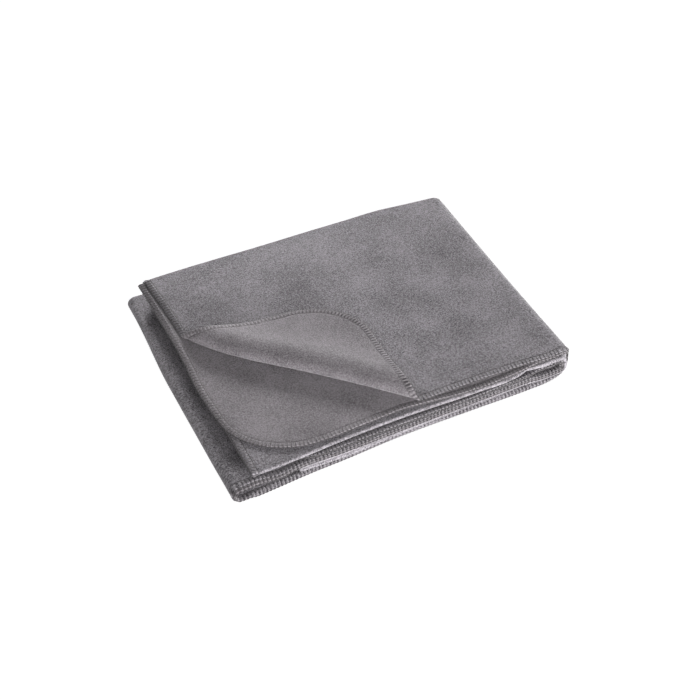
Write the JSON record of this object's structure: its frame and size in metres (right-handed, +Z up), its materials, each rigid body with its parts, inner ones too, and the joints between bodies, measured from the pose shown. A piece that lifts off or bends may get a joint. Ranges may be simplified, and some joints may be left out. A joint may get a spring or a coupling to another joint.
{
  "type": "folded throw blanket",
  "caption": "Grey fleece throw folded into a low rectangular pile, edges overlocked, one rounded corner of the top leaf turned back to show the underside.",
  "frame": {"origin": "centre of the pile's footprint, on the surface it lies on", "axes": "+Z up through the pile's thickness, +X along the front toward the wrapped right edge, -Y toward the front with the stitched hems"},
  "size_m": [0.4168, 0.331, 0.0389],
  "materials": {
    "fleece": "napped fleece, fine curly pile",
    "fleece_underside": "smoother brushed fleece back",
    "thread": "matt polyester overlock thread"
  },
  "bodies": {
    "lower_half": {"third_pass": "fleece", "bottom_pass": "fleece", "left_roll": "fleece", "inner_wrap_lower": "fleece", "outer_wrap_lower": "fleece", "edging_lower_first": "thread", "edging_lower_second": "thread"},
    "upper_half": {"top_pass": "fleece", "second_pass": "fleece", "inner_wrap_upper": "fleece", "outer_wrap_upper": "fleece", "edging_top_front": "thread", "edging_top_end": "thread", "edging_inner_end": "thread"},
    "corner": {"turned_corner": "fleece_underside", "edging_corner": "thread"}
  },
  "joints": [
    {"name": "open_upper_half", "type": "hinge", "parent": "lower_half", "child": "upper_half", "pos_m": [0.2086, 0, 0.01945], "axis": [0, 1, 0], "range_deg": [0, 180]},
    {"name": "lay_corner_forward", "type": "hinge", "parent": "upper_half", "child": "corner", "pos_m": [-0.18154, 0.05233, 0.03675], "axis": [0.6875, -0.7262, 0], "range_deg": [0, 180]}
  ]
}
